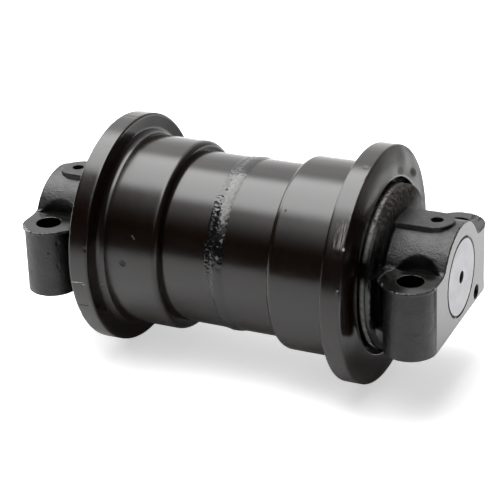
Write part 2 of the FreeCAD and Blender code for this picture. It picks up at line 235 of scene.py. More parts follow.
def contoured(field, low, high, step):
    """Points and quads of a field's zero surface, with its edges and corners kept (dual contouring)."""
    low = np.array(low, float)
    counts = np.ceil((np.array(high) - low) / step).astype(int) + 1
    axes = [low[a] + step * np.arange(counts[a]) for a in range(3)]
    values = field(*np.meshgrid(*axes, indexing="ij", sparse=True))
    inside = values < 0
    crossings, cells, flips = [], [], []
    for axis in range(3):
        unit = np.eye(3, dtype=int)[axis]
        across = [np.eye(3, dtype=int)[(axis + n) % 3] for n in (1, 2)]
        near = tuple(slice(0, counts[a] - unit[a]) for a in range(3))
        far = tuple(slice(unit[a], counts[a]) for a in range(3))
        found = np.argwhere(inside[near] != inside[far])
        start, end = values[tuple(found.T)], values[tuple((found + unit).T)]
        crossings.append(low + step * (found + unit * (start / (start - end))[:, None]))
        ring = (-across[0] - across[1], -across[1], np.zeros(3, int), -across[0])
        cells.append(np.stack([np.ravel_multi_index((found + corner).T, counts) for corner in ring], axis=1))
        flips.append(end < 0)
    crossings, cells, flips = np.concatenate(crossings), np.concatenate(cells), np.concatenate(flips)
    normals = slope(field, crossings)
    used, quads = np.unique(cells, return_inverse=True)
    quads = quads.reshape(cells.shape)
    vertex, crossing = quads.ravel(), np.repeat(np.arange(len(crossings)), 4)

    def gathered(numbers):
        return np.bincount(vertex, weights=numbers[crossing], minlength=len(used))

    number = gathered(np.ones(len(crossings)))
    middle = np.stack([gathered(crossings[:, a]) for a in range(3)], axis=1) / number[:, None]
    pull = 0.04
    matrix = np.empty((len(used), 3, 3))
    target = np.empty((len(used), 3))
    reach = np.einsum("ij,ij->i", normals, crossings)
    for a in range(3):
        for b in range(3):
            matrix[:, a, b] = gathered(normals[:, a] * normals[:, b]) + (pull if a == b else 0)
        target[:, a] = gathered(normals[:, a] * reach) + pull * middle[:, a]
    points = np.linalg.solve(matrix, target[:, :, None])[:, :, 0]
    corner = low + step * np.stack(np.unravel_index(used, counts), axis=1)
    points = np.clip(points, corner - 0.1 * step, corner + 1.1 * step)
    quads[flips] = quads[flips][:, ::-1]
    return points, quads


# ---------------------------------------------------------------- materials

def node_material(name):
    """New material with an empty Principled shader; gives its node tree and the shader."""
    material = bpy.data.materials.new(name)
    material.use_nodes = True
    tree = material.node_tree
    return material, tree, tree.nodes["Principled BSDF"]


def plug(tree, source, socket):
    """Link a source, which is a node and the name or number of its output, to a socket."""
    node, output = source
    tree.links.new(node.outputs[output], socket)


def add(tree, kind, **settings):
    """Add a node and set its inputs by name; a tuple of node and output name links it instead."""
    node = tree.nodes.new(kind)
    for key, setting in settings.items():
        if key in node.bl_rna.properties:
            setattr(node, key, setting)
            continue
        socket = node.inputs[int(key[1:])] if key[0] == "_" else node.inputs[key.replace("_", " ")]
        if isinstance(setting, tuple) and isinstance(setting[0], bpy.types.Node):
            plug(tree, setting, socket)
        else:
            socket.default_value = setting
    return node


def split_place(tree):
    """Node that gives the place on the object as X, Y and Z, in metres."""
    place = add(tree, "ShaderNodeTexCoord")
    return add(tree, "ShaderNodeSeparateXYZ", Vector=(place, "Object"))


def from_axis(tree, split):
    """Distance of a place from the roller's axis."""
    flat = add(tree, "ShaderNodeCombineXYZ", X=(split, "X"), Z=(split, "Z"))
    return add(tree, "ShaderNodeVectorMath", operation="LENGTH", _0=(flat, "Vector")), "Value"


def attribute(tree, name):
    """Number that a mesh stores at its points."""
    return add(tree, "ShaderNodeAttribute", attribute_name=name), "Fac"


def noise(tree, size, detail, stretch=(1, 1, 1)):
    """Noise whose lumps are about size millimetres, squeezed or drawn out along the axes."""
    place = add(tree, "ShaderNodeTexCoord")
    scale = tuple(s / (size * MM) for s in stretch)
    mapping = add(tree, "ShaderNodeMapping", Vector=(place, "Object"), Scale=scale)
    return add(tree, "ShaderNodeTexNoise", Vector=(mapping, "Vector"), Scale=1.0, Detail=detail), "Fac"


def unrolled(tree, across, around):
    """Noise in lumps across millimetres wide along the axis and around millimetres long round it."""
    split = split_place(tree)
    angle = maths(tree, "ARCTAN2", (split, "Z"), (split, "X"))
    u = maths(tree, "MULTIPLY", (split, "Y"), 1 / (across * MM))
    v = maths(tree, "MULTIPLY", angle, FLANGE / around)
    flat = add(tree, "ShaderNodeCombineXYZ", X=u, Y=v)
    return add(tree, "ShaderNodeTexNoise", Vector=(flat, "Vector"), Scale=1.0, Detail=2.0), "Fac"


def spread(tree, source, low, high, to_low=0.0, to_high=1.0, kind="LINEAR"):
    """Map a number from one range to another, clamped."""
    ends = {"_1": low, "_2": high, "_3": to_low, "_4": to_high}
    return add(tree, "ShaderNodeMapRange", interpolation_type=kind, _0=source, **ends), "Result"


def maths(tree, operation, first, second=0.0):
    """One math node, given as the source of a link."""
    return add(tree, "ShaderNodeMath", operation=operation, _0=first, _1=second), "Value"


def mixed(tree, share, first, second):
    """Mix of two colours, each given as red, green and blue or as the source of a link."""
    first, second = (end if isinstance(end[0], bpy.types.Node) else (*end, 1) for end in (first, second))
    return add(tree, "ShaderNodeMix", data_type="RGBA", _0=share, _6=first, _7=second), 2


def blended(tree, share, first, second):
    """Mix of two numbers."""
    return add(tree, "ShaderNodeMix", data_type="FLOAT", _0=share, _2=first, _3=second), 0


def bump(tree, height, depth, under=None):
    """Bump of a height from 0 to 1 that stands depth millimetres, over another bump if there is one."""
    below = {"Normal": under} if under else {}
    return add(tree, "ShaderNodeBump", Height=height, Distance=depth * MM, Strength=1.0, **below), "Normal"


def blob(tree, centre, half_sizes, turn=(0, 0, 0), soft=0.5):
    """Mask of an ellipsoid given in millimetres and degrees, with a soft edge."""
    place = add(tree, "ShaderNodeTexCoord")
    local = add(tree, "ShaderNodeMapping", vector_type="TEXTURE", Vector=(place, "Object"))
    local.inputs["Location"].default_value = [c * MM for c in centre]
    local.inputs["Rotation"].default_value = [math.radians(angle) for angle in turn]
    local.inputs["Scale"].default_value = [size * MM for size in half_sizes]
    reach = add(tree, "ShaderNodeVectorMath", operation="LENGTH", _0=(local, "Vector"))
    return spread(tree, (reach, "Value"), 1.0, 1.0 - soft)


def marked(tree, marks, soft=0.5, broken_by=1.0, over=0.0):
    """Strongest of some marks, which a mask may break up, over what is there before."""
    for centre, half_sizes, turn, strength in marks:
        spot = maths(tree, "MULTIPLY", blob(tree, centre, half_sizes, turn, soft), broken_by)
        over = maths(tree, "MAXIMUM", over, maths(tree, "MULTIPLY", spot, strength))
    return over


def dress(tree, shader, colour, roughness, normal):
    """Feed a shader its colour, its roughness and its bumps."""
    for name, source in (("Base Color", colour), ("Roughness", roughness), ("Normal", normal)):
        plug(tree, source, shader.inputs[name])


# Tones as linear red, green and blue.
SHELL_BLACK, DUST_AND_TOP_LIGHT_TONE, SCRATCH_TONE = (0.0030, 0.0012, 0.0005), (0.058, 0.050, 0.046), (0.35, 0.34, 0.33)
CAST_BLACK, CAST_GREY, RIM_STEEL = (0.0006, 0.0006, 0.0006), (0.0032, 0.0028, 0.0024), (0.30, 0.30, 0.29)
WELD_BLACK, WELD_DARK, WELD_LIGHT = (0.0008, 0.0008, 0.0008), (0.06, 0.06, 0.059), (0.19, 0.19, 0.185)
RUBBER_BLACK, RUBBER_BLOOM = (0.010, 0.010, 0.010), (0.024, 0.023, 0.022)
DIRT_AND_TOP_LIGHT_TONE, GRIME_AND_SHADE_TONE = (0.044, 0.035, 0.030), (0.008, 0.008, 0.009)

# Marks on the paint of the shell: centre, half sizes and turn of an ellipsoid, and how strong it is.
SCRATCHES = [
    ((95, -110, -9.2), (4, 7.5, 0.55), (6, 0, 0), 1.0),
    ((95, -103.5, -10.2), (4, 2.5, 0.4), (12, 0, 0), 0.7),
    ((81, 114, 49.5), (1.6, 1.4, 1.8), (0, 0, 0), 1.0),
    ((73, -68, 28), (2, 0.8, 0.8), (0, 0, 0), 0.5),
    ((73.5, -66.5, 26.5), (2, 0.5, 1.2), (20, 0, 0), 0.4),
    ((78, -96.5, -17), (3, 2.8, 0.35), (30, 0, 0), 0.35),
    ((77.5, -97, -21.5), (3, 2.0, 0.3), (24, 0, 0), 0.3),
    ((92.5, 113.5, 21), (2, 1.3, 0.9), (0, 0, 0), 0.8),
]
DENTS = [
    ((-53, 118, 58), (10, 16, 4), (0, -28, 0), 0.9),
    ((-23, 119, 71), (9, 16, 4), (0, -28, 0), 0.35),
    ((78, -76, 6), (5, 3.6, 3.4), (0, 0, 0), 0.75),
    ((51, 55, 59), (1.5, 0.8, 1), (0, 0, 0), 0.9),
    ((93, 112.5, 19), (2.5, 1.8, 1.2), (0, 0, 0), 1.0),
    ((89.5, -109, -31.5), (6, 7, 0.7), (0, 0, 0), 0.7),
]


def shell_paint():
    """Semi-gloss black paint over turned steel, with fine rings, orange peel, dust with a painted lighter
    top, and worn scratches.
    """
    material, tree, shader = node_material("shell_paint")
    shader.inputs["IOR"].default_value = 1.5
    rings = noise(tree, 60, 2, stretch=(1, 90, 1))
    dust_and_top_light = attribute(tree, "dust_and_top_light")
    worn = maths(tree, "MULTIPLY", unrolled(tree, 0.9, 16), 1.4)
    worn = maths(tree, "ADD", attribute(tree, "wear"), worn)
    scored = maths(tree, "MULTIPLY", spread(tree, worn, 1.62, 1.90), 0.36)
    speckle = spread(tree, noise(tree, 1.0, 2), 0.30, 0.52)
    scored = marked(tree, SCRATCHES, 0.7, speckle, scored)
    dented = marked(tree, DENTS)
    # The dust tone also paints the top of the flange's outer face lighter.
    colour = mixed(tree, scored, mixed(tree, dust_and_top_light, SHELL_BLACK, DUST_AND_TOP_LIGHT_TONE), SCRATCH_TONE)
    rough = spread(tree, noise(tree, 35, 3), 0.3, 0.7, 0.165, 0.215)
    rough = maths(tree, "ADD", rough, spread(tree, rings, 0.35, 0.65, -0.015, 0.015))
    rough = maths(tree, "ADD", rough, maths(tree, "MULTIPLY", dented, 0.45))
    rough = maths(tree, "ADD", rough, maths(tree, "MULTIPLY", dust_and_top_light, 0.42))
    skin = bump(tree, rings, 0.004)
    skin = bump(tree, noise(tree, 2.2, 2), 0.006, skin)
    skin = bump(tree, maths(tree, "MULTIPLY", noise(tree, 1.3, 2), dust_and_top_light), 0.07, skin)
    skin = bump(tree, maths(tree, "SUBTRACT", 1.0, dented), 0.5, skin)
    dress(tree, shader, colour, rough, skin)
    return material


# Marks on the collars: bright chips on the near left pad's edges and a painted highlight on the near right
# pad's corner, and pits in the near left boss and the far right pad.
CHIPS_AND_CORNER_GLINT = [
    ((68, -172.5, 18.5), (5, 2.2, 1.4), (0, 0, 45), 0.7),
    ((74, -166, 18.4), (8, 2.2, 1.4), (0, 0, 50), 0.9),
    ((80, -155, 18.2), (2.2, 5, 1.3), (0, 0, 0), 0.6),
    ((77.5, -149, 18.2), (5, 2, 1.3), (0, 0, -58), 0.8),
    # Painted highlight on the near right pad's corner, not a chip.
    ((67, 138.5, 18), (3, 2, 1.4), (0, 0, 0), 0.6),
]
PITS = [
    ((69, -140.5, 8), (2.4, 2.4, 2.6), (0, 0, 0), 0.9),
    ((74.5, -146, 1), (2.4, 2.8, 1.8), (0, 0, 0), 0.8),
    ((76, -149, -2.5), (2, 2.4, 1.6), (0, 0, 0), 0.7),
    ((70, -141.5, -11.5), (1.6, 1.6, 2.8), (0, 0, 0), 0.6),
    ((-70, 165, 19), (9, 2.4, 3), (0, 0, 0), 0.9),
    ((-67, 171, 19), (6, 1.8, 3), (0, 0, 0), 0.9),
]


def rim_bare_and_highlight(tree, radius, along):
    """How bare the rim of the seal disc is, with painted light: barer and brighter near its top as a painted
    highlight, darker lower down as painted shade.
    """
    bare = spread(tree, noise(tree, 4, 4), 0.36, 0.60, 0.3, 0.5)
    # Painted highlight near the rim's top, and painted shade lower down.
    top_highlight = blob(tree, (34, 123, 57), (42, 12, 24), soft=0.9)
    low_shade = blob(tree, (61, 122, 24), (30, 12, 12), soft=0.6)
    bare = maths(tree, "ADD", bare, maths(tree, "MULTIPLY", top_highlight, 0.9))
    bare = maths(tree, "MULTIPLY", bare, maths(tree, "SUBTRACT", 1.0, low_shade))
    bare = maths(tree, "MINIMUM", bare, 1.0)
    bounds = (
        (radius, DISC - 1.3, DISC - 0.7),
        (along, FACE_Y - 0.3, FACE_Y + 1.4),
        (along, DISC_FACE - 5.6, DISC_FACE - 7.4),
    )
    for source, start, end in bounds:
        bare = maths(tree, "MULTIPLY", bare, spread(tree, source, start * MM, end * MM))
    return bare


def collar_paint():
    """Black paint: pebbled over the raw casting, smoother with faint tool marks over machined faces."""
    material, tree, shader = node_material("collar_paint")
    shader.inputs["IOR"].default_value = 1.47
    cloud = noise(tree, 11, 3)
    split = split_place(tree)
    radius = from_axis(tree, split)
    along = maths(tree, "ABSOLUTE", (split, "Y"))
    flaky = spread(tree, noise(tree, 1.3, 2), 0.40, 0.56)
    # Bare places: the chips, a painted highlight on the right pad's corner, and the rim's bare steel with its
    # painted highlight and shade.
    bare = marked(tree, CHIPS_AND_CORNER_GLINT, 0.6, flaky, rim_bare_and_highlight(tree, radius, along))
    pitted = marked(tree, PITS)
    on_disc = spread(tree, radius, (BARREL + 1) * MM, (BARREL + 5) * MM)
    near_disc = spread(tree, along, (DISC_FACE + 4) * MM, (DISC_FACE + 1) * MM)
    on_disc = maths(tree, "MULTIPLY", on_disc, near_disc)
    # Brown dirt over the top of the disc's face, which also paints that top lighter; lower down the face
    # stays black.
    dirt_and_top_light = maths(tree, "MULTIPLY", on_disc, spread(tree, (split, "Z"), 36 * MM, 56 * MM))
    clean = maths(tree, "SUBTRACT", on_disc, dirt_and_top_light)
    clean = maths(tree, "MULTIPLY", clean, spread(tree, (split, "X"), 0.0, 20 * MM))
    smooth = maths(tree, "MAXIMUM", attribute(tree, "machined"), clean)
    earthy_and_lit = maths(tree, "MULTIPLY", dirt_and_top_light, spread(tree, noise(tree, 3.6, 3), 0.44, 0.60))
    colour = mixed(tree, bare, mixed(tree, cloud, CAST_BLACK, CAST_GREY), RIM_STEEL)
    colour = mixed(tree, earthy_and_lit, colour, DIRT_AND_TOP_LIGHT_TONE)
    rough = blended(tree, smooth, spread(tree, cloud, 0.3, 0.7, 0.30, 0.44), 0.17)
    rough = blended(tree, dirt_and_top_light, rough, 0.95)
    rough = maths(tree, "ADD", rough, maths(tree, "MULTIPLY", pitted, 0.45))
    raw = maths(tree, "SUBTRACT", 1.0, smooth)
    skin = bump(tree, maths(tree, "MULTIPLY", noise(tree, 1.1, 3), raw), 0.42)
    skin = bump(tree, maths(tree, "MULTIPLY", noise(tree, 0.45, 2), raw), 0.07, skin)
    skin = bump(tree, maths(tree, "SUBTRACT", 1.0, pitted), 0.7, skin)
    skin = bump(tree, noise(tree, 20, 2, stretch=(1, 60, 1)), 0.002, skin)
    dress(tree, shader, colour, rough, skin)
    return material


def weld_paint():
    """Black paint over a weld bead, worn through to grey metal along part of its crest."""
    material, tree, shader = node_material("weld_paint")
    shader.inputs["IOR"].default_value = 1.5
    bare = attribute(tree, "bare")
    metal_tone = mixed(tree, noise(tree, 1.6, 3), WELD_DARK, WELD_LIGHT)
    colour = mixed(tree, bare, WELD_BLACK, metal_tone)
    rough = spread(tree, bare, 0.0, 1.0, 0.20, 0.60)
    dress(tree, shader, colour, rough, bump(tree, noise(tree, 0.9, 3), 0.05))
    return material


def metal(name, dark, light, roughness, grain, stretch=(1, 1, 1), grime_and_shade_beyond=None):
    """Bare metal between two tones, with a drawn-out grain; beyond some radius from the axis it may be
    darkened with grime and with painted shade of the gap there.
    """
    material, tree, shader = node_material(name)
    shader.inputs["Metallic"].default_value = 1.0
    lines = noise(tree, grain, 3, stretch)
    colour = mixed(tree, lines, dark, light)
    if grime_and_shade_beyond:
        radius = from_axis(tree, split_place(tree))
        # Darkened beyond this radius: grime, and painted shade for the gap between the shaft's end and the
        # collar.
        at_edge = spread(tree, radius, (grime_and_shade_beyond - 0.15) * MM, (grime_and_shade_beyond + 0.15) * MM)
        colour = mixed(tree, at_edge, colour, GRIME_AND_SHADE_TONE)
    rough = spread(tree, lines, 0.3, 0.7, roughness - 0.06, roughness + 0.08)
    dress(tree, shader, colour, rough, bump(tree, lines, 0.01))
    return material


def rubber():
    """Matte black nitrile rubber with a faint bloom."""
    material, tree, shader = node_material("rubber")
    bloom = noise(tree, 6, 3)
    colour = mixed(tree, bloom, RUBBER_BLACK, RUBBER_BLOOM)
    rough = spread(tree, bloom, 0.3, 0.7, 0.55, 0.7)
    dress(tree, shader, colour, rough, bump(tree, noise(tree, 0.4, 2), 0.01))
    return material


PAINT_SHELL = shell_paint()
PAINT_COLLAR = collar_paint()
PAINT_WELD = weld_paint()
RUBBER = rubber()
GROUND_STEEL = metal(
    "ground_steel", (0.17, 0.17, 0.18), (0.23, 0.23, 0.24), 0.34, 12,
    stretch=(1, 40, 1), grime_and_shade_beyond=SHAFT_SEAT - 0.95,
)
DARK_STEEL = metal("dark_steel", (0.08, 0.08, 0.085), (0.16, 0.16, 0.165), 0.42, 3)
BRONZE = metal("bronze", (0.48, 0.30, 0.13), (0.62, 0.42, 0.20), 0.36, 4, (1, 20, 1))
SEAL_IRON = metal("seal_iron", (0.20, 0.20, 0.20), (0.34, 0.34, 0.35), 0.38, 2)

CAD_LOOKS = {
    "shaft": GROUND_STEEL,
    "oil_fill_plug": DARK_STEEL,
    "oil_plug_oring": RUBBER,
}
for end in ("left", "right"):
    CAD_LOOKS[f"bush_{end}"] = BRONZE
    CAD_LOOKS[f"seal_ring_rotating_{end}"] = SEAL_IRON
    CAD_LOOKS[f"seal_ring_fixed_{end}"] = SEAL_IRON
    CAD_LOOKS[f"toric_rotating_{end}"] = RUBBER
    CAD_LOOKS[f"toric_fixed_{end}"] = RUBBER
    CAD_LOOKS[f"shaft_oring_{end}"] = RUBBER
    CAD_LOOKS[f"collar_dowel_{end}"] = DARK_STEEL
for node, material in CAD_LOOKS.items():
    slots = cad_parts[node].data.materials
    slots.clear()
    slots.append(material)


# ---------------------------------------------------------------- pieces

SHELL_PROFILE = [
    (CAVITY, 0, 0),
    (CAVITY, BUSH_SEAT_Y, 0),
    (BUSH_BORE, BUSH_SEAT_Y, 0),
    (BUSH_BORE, BUSH_END_Y, 0.6),
    (POCKET_FLOOR, BUSH_END_Y, 1.0),
    (POCKET_MOUTH, RECESS_FLOOR, 0.5),
    (RECESS, RECESS_FLOOR, 1.0),
    (RECESS, FACE_Y, 0.9),
    (FACE_RADIUS, FACE_Y, 50),
    (FLANGE, FLANGE_OUTER, 1.8),
    (FLANGE, FLANGE_INNER, 1.5),
    (TREAD, TREAD_END, 6.0),
    (TREAD, TREAD_START, 5.0),
    (WAIST, TREAD_START, 0),
    (WAIST, WELD_HALF, 0),
    (WAIST - 8, 0, 0),
]


def shell_half(side, node):
    """Half of the roller shell, with rounded edges, faint waves and a knocked and rubbed flange whose outer
    face has dust and is painted lighter on top.
    """
    profile = outline(SHELL_PROFILE, 1.6)
    points, quads = turned(profile, SHELL_SEGMENTS, side)
    seed = 10 + side
    radius = np.hypot(points[:, 0], points[:, 2])
    radial = points * [1, 0, 1] / radius[:, None]
    outer = np.clip((radius - WAIST + 1) / 2, 0, 1)
    wave = 0.05 * lumps(points, 22, seed) + 0.02 * lumps(points, 6, seed + 1)
    rim = np.clip((radius - FLANGE + 2.5) / 2, 0, 1)
    knocks = np.clip(lumps(points, 5, seed + 2) - 0.62, 0, 1) * 0.9
    points = points + radial * (wave * outer - knocks * rim)[:, None]
    obj = finish_mesh(f"{node}_turned", points, quads, 40)
    phi = np.degrees(np.arctan2(points[:, 2], points[:, 0]))
    y = points[:, 1] * side
    rubbed = np.clip((14 - np.abs(phi - RUBBED_PHI)) / 9, 0, 1)
    rubbed = rubbed * np.clip((7 - np.abs(y - RUBBED_Y)) / 3, 0, 1)
    set_attribute(obj, "wear", rubbed * (radius > FLANGE - 3) * (side > 0))
    # Dust over the top of the flange's outer face, which also paints that top lighter.
    upward = np.clip((phi - DUST_AND_LIGHT_FROM) / 16, 0, 1) * np.clip((DUST_AND_LIGHT_TO - phi) / 40, 0, 1)
    outer_face = np.clip((y - FLANGE_OUTER + 1.5) / 2, 0, 1) * (radius > RECESS + 1)
    set_attribute(obj, "dust_and_top_light", upward * outer_face * (0.6 + 0.4 * lumps(points, 14, seed + 3)))
    obj.data.materials.append(PAINT_SHELL)
    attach(obj, "roller_shell")
    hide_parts(node)


def weld_bead():
    """Rough weld bead with ragged edges that fills the groove between the halves, bare along part of it."""
    segments, rows = WELD_SEGMENTS, WELD_ROWS
    turn = np.linspace(0, 2 * math.pi, segments, endpoint=False)
    circle = np.stack([np.cos(turn), np.zeros(segments), np.sin(turn)], axis=1)
    sway = 0.35 * lumps(circle * WAIST, 9, 41)
    left = WELD_LEFT + 0.6 * lumps(circle * WAIST, 2.2, 42) + sway
    right = WELD_RIGHT + 0.4 * lumps(circle * WAIST, 2.6, 43) + sway
    share = np.linspace(0, 1, rows)[:, None]
    along = left + (right - left) * share
    flat = circle[None] * WAIST + along[..., None] * [0, 1, 0]
    every = flat.reshape(-1, 3)
    ragged = (lumps(every, 1.4, 46) + 0.6 * lumps(every, 3.2, 47)).reshape(rows, segments)
    shoulder = np.clip((along - left) / 1.2, 0, 1) * 0.30
    crest = np.clip((along + 3.8 - sway - 0.5 * ragged) / 3.2, 0, 1)
    fall = np.clip((right - along) / 6.5, 0, 1)
    height = (shoulder + 0.95 * crest) * np.sin(fall * math.pi / 2)
    grain = (0.16 * lumps(every, 1.6, 44) + 0.08 * lumps(every, 0.9, 45)).reshape(rows, segments)
    rougher = np.where(along < 0.0, 1.5, 0.5)
    edge = np.clip(np.minimum(along - left, right - along) / 1.5, 0, 1)
    radius = WAIST - 0.05 + height + grain * rougher * edge
    outer = circle[None] * radius[..., None] + along[..., None] * [0, 1, 0]
    root = np.broadcast_to((circle * (WAIST - 7.8))[None], (1, segments, 3))
    points = np.concatenate([outer, root]).reshape(-1, 3)
    i, j = np.meshgrid(np.arange(rows + 1), np.arange(segments), indexing="ij")
    i2, j2 = (i + 1) % (rows + 1), (j + 1) % segments
    quads = np.stack([i * segments + j, i * segments + j2, i2 * segments + j2, i2 * segments + j], axis=-1)
    obj = finish_mesh("centre_weld_bead_rough", points, quads.reshape(-1, 4), 60)
    phi = (np.degrees(turn) + 180) % 360 - 180
    drift = np.clip((74 - phi) / 22, 0, 1)
    from_left = along - (-3.4 + 2.9 * drift + sway + 1.1 * ragged)
    from_right = 7.2 - 0.9 * drift + sway + 0.9 * ragged - along
    worn = np.minimum(np.clip(from_left * 1.6, 0, 1), np.clip(from_right * 1.2, 0, 1))
    stretch = np.clip((BARE_TO - phi) / 2 + ragged, 0, 1)
    stretch = stretch * np.clip((phi - BARE_FROM) / 8 + 1.1 * ragged, 0, 1)
    flecks = np.clip((ragged - 0.5) * 4, 0, 1) * np.clip((phi - FLECKS_FROM) / 6, 0, 1) * (phi < FLECKS_TO)
    bare = worn * np.maximum(stretch, 0.6 * flecks)
    set_attribute(obj, "bare", np.concatenate([bare.ravel(), np.zeros(segments)]))
    obj.data.materials.append(PAINT_WELD)
    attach(obj, "roller_shell")
    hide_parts("centre_weld_bead")


DISC_OUTLINE = [tuple(point) for point in outline([
    (0, DISC_INNER, 0),
    (DISC - 2, DISC_INNER, 0),
    (DISC, DISC_INNER + 2, 0),
    (DISC, DISC_FACE - 4.0, 1.2),
    (DISC - 2.6, DISC_FACE - 1.2, 1.2),
    (DISC - 10, DISC_FACE, 3.0),
    (0, DISC_FACE, 0),
], math.inf)]
BORE_OUTLINE = [
    (-1, DISC_INNER - 5),
    (POCKET_MOUTH, DISC_INNER - 5),
    (POCKET_MOUTH, DISC_INNER),
    (POCKET_FLOOR, DISC_INNER + 11),
    (SHAFT_SEAT, DISC_INNER + 11),
    (SHAFT_SEAT, END_Y - 1.4),
    (SHAFT_SEAT + 1.2, END_Y),
    (SHAFT_SEAT + 1.2, END_Y + 5),
    (-1, END_Y + 5),
]
# The pad's slanted side meets the ear's round halfway between X and Y, just outside it.
EAR_CORNER = (EAR + 0.15) / math.sqrt(2)
PLATE_OUTLINE = [
    (-1, DISC_FACE - 1),
    (BOLT_X + EAR_CORNER - (BOLT_Y - EAR_CORNER - DISC_FACE + 1), DISC_FACE - 1),
    (BOLT_X + EAR_CORNER, BOLT_Y - EAR_CORNER),
    (BLOCK_HALF, BOLT_Y),
    (BLOCK_HALF, END_Y + 3),
    (-1, END_Y + 3),
]


def collar_field(x, y, z):
    """Distance field of the right end collar."""
    r, ax = np.hypot(x, z), np.abs(x)
    bolt = np.hypot(ax - BOLT_X, y - BOLT_Y)
    barrel = common(r - BARREL, between(y, DISC_FACE - 9, END_Y + 3), 1.2)
    body = union(in_outline(r, y, DISC_OUTLINE), barrel, 2.5)
    tall = between(z, MOUNT_PLANE, PAD_TOP - 0.5)
    web = common(common(ax - WEB_HALF, between(y, DISC_FACE - 2, END_Y + 3)), tall)
    block = common(common(ax - BLOCK_HALF, between(y, BOLT_Y, END_Y + 3)), tall, 0.8)
    boss = common(bolt - BOSS + (z - MOUNT_PLANE) * math.tan(DRAFT), tall, 0.8)
    ears = union(union(block, boss, 0.8), web, 4.0)
    body = union(body, ears, 2.5)
    pad = np.minimum(in_outline(ax, y, PLATE_OUTLINE), bolt - EAR)
    body = union(body, common(pad, between(z, PAD_TOP - PAD_LIP, PAD_TOP), 1.1), 0.5)
    body = minus(body, np.maximum(DISC_FACE - y, z - MOUNT_PLANE), 0.8)
    body = minus(body, np.maximum(bolt - HEAD_ROOM, PAD_TOP - z), 1.0)
    body = minus(body, bolt - BOLT_HOLE, 0.5)
    nose = np.hypot(x, y - TONGUE_NOSE_Y) - TONGUE_HALF
    plan = np.minimum(np.maximum(ax - TONGUE_HALF, y - TONGUE_NOSE_Y), nose)
    tongue = common(np.maximum(plan, DISC_FACE - 2 - y), between(z, SHAFT_SEAT + 1, TONGUE_TOP), 1.5)
    body = union(body, tongue, 0.6)
    body = common(body, y - END_Y, 1.0)
    body = minus(body, in_outline(r, y, BORE_OUTLINE))
    body = minus(body, np.maximum(np.hypot(x, y - DOWEL_Y) - DOWEL_HOLE, -z), 0.5)
    jig = np.hypot(x - FACE_HOLE_X, z - FACE_HOLE_Z) - FACE_HOLE
    return minus(body, np.maximum(jig, END_Y - FACE_HOLE_DEPTH - y), 0.5)


def collar(side, node):
    """Cast end collar, with a lumpy skin where it isn't machined."""
    step = 0.9
    low = (-EAR_REACH - 1.3, DISC_INNER - 1.7, -DISC - 1.3)
    high = (EAR_REACH + 2, END_Y + 2, DISC + 2)
    points, quads = contoured(collar_field, low, high, step)
    normals = slope(collar_field, points, 0.3)
    x, y, z = points.T
    r = np.hypot(x, z)
    bolt = np.hypot(np.abs(x) - BOLT_X, y - BOLT_Y)
    turned_part = (r > DISC - 1) & (y < DISC_FACE - 3) | (r < SHAFT_SEAT + 1.5)
    faced = (y > END_Y - 0.5) | (z < MOUNT_PLANE + 0.5) & (y > DISC_FACE)
    milled = (bolt < HEAD_ROOM + 0.5) & (np.abs(z - PAD_TOP) < 0.6) | (bolt < BOLT_HOLE + 0.55)
    machined = (turned_part | faced | milled).astype(float)
    seed = 70 + side
    skin = 0.26 * lumps(points, 12, seed) + 0.09 * lumps(points, 3.4, seed + 1)
    skin += 0.07 * lumps(points, 1.7, seed + 2)
    disc_top = (r > BARREL + 1) * np.clip((z - 28) / 20, 0, 1) * np.clip((DISC_FACE + 5 - y) / 3, 0, 1)
    skin += disc_top * (y > DISC_FACE - 3) * 0.7 * lumps(points, 8, seed + 3)
    points = points + normals * (skin * (1 - machined))[:, None]
    points = points * [side, side, 1]
    obj = finish_mesh(f"{node}_cast", points, quads, 32)
    set_attribute(obj, "machined", machined)
    obj.data.materials.append(PAINT_COLLAR)
    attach(obj, "root")
    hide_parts(node)


for side, end in ((-1, "left"), (1, "right")):
    for build, part in ((shell_half, "shell_half"), (collar, "end_collar")):
        build(side, f"{part}_{end}")
weld_bead()


# ---------------------------------------------------------------- camera, floor and light

# Camera fitted to the photo's lines; distances and aim are in millimetres from the origin.
AZIMUTH, ELEVATION, ROLL = (math.radians(angle) for angle in (116.2975, 25.4976, -2.8366))
LENS, SENSOR = 120.41, 36
DISTANCE, AIM_RIGHT, AIM_UP = 1353.75, -1.465, -5.209

back = Vector((
    math.sin(AZIMUTH) * math.cos(ELEVATION),
    -math.cos(AZIMUTH) * math.cos(ELEVATION),
    math.sin(ELEVATION),
))
level = Vector((math.cos(AZIMUTH), math.sin(AZIMUTH), 0))
upright = back.cross(level)
right = level * math.cos(ROLL) + upright * math.sin(ROLL)
up = upright * math.cos(ROLL) - level * math.sin(ROLL)
camera = bpy.data.objects.new("camera", bpy.data.cameras.new("camera"))
camera.data.lens = LENS
camera.data.sensor_width = SENSOR
camera.data.clip_start = 0.05
place = (back * DISTANCE + right * AIM_RIGHT + up * AIM_UP) * MM
camera.matrix_world = Matrix.Translation(place) @ Matrix((right, up, back)).transposed().to_4x4()
bpy.context.scene.collection.objects.link(camera)
bpy.context.scene.camera = camera


def stage_sheet(name, points, material):
    """Flat sheet of the studio, which isn't part of the object."""
    mesh = bpy.data.meshes.new(name)
    mesh.from_pydata(points, [], [(0, 1, 2, 3)])
    mesh.shade_smooth()
    mesh.materials.append(material)
    sheet = bpy.data.objects.new(name, mesh)
    bpy.context.scene.collection.objects.link(sheet)
    return sheet


def lying(x0, x1, y0, y1, height):
    """Corners in metres of a level rectangle that faces up."""
    return [(x0, y0, height), (x1, y0, height), (x1, y1, height), (x0, y1, height)]


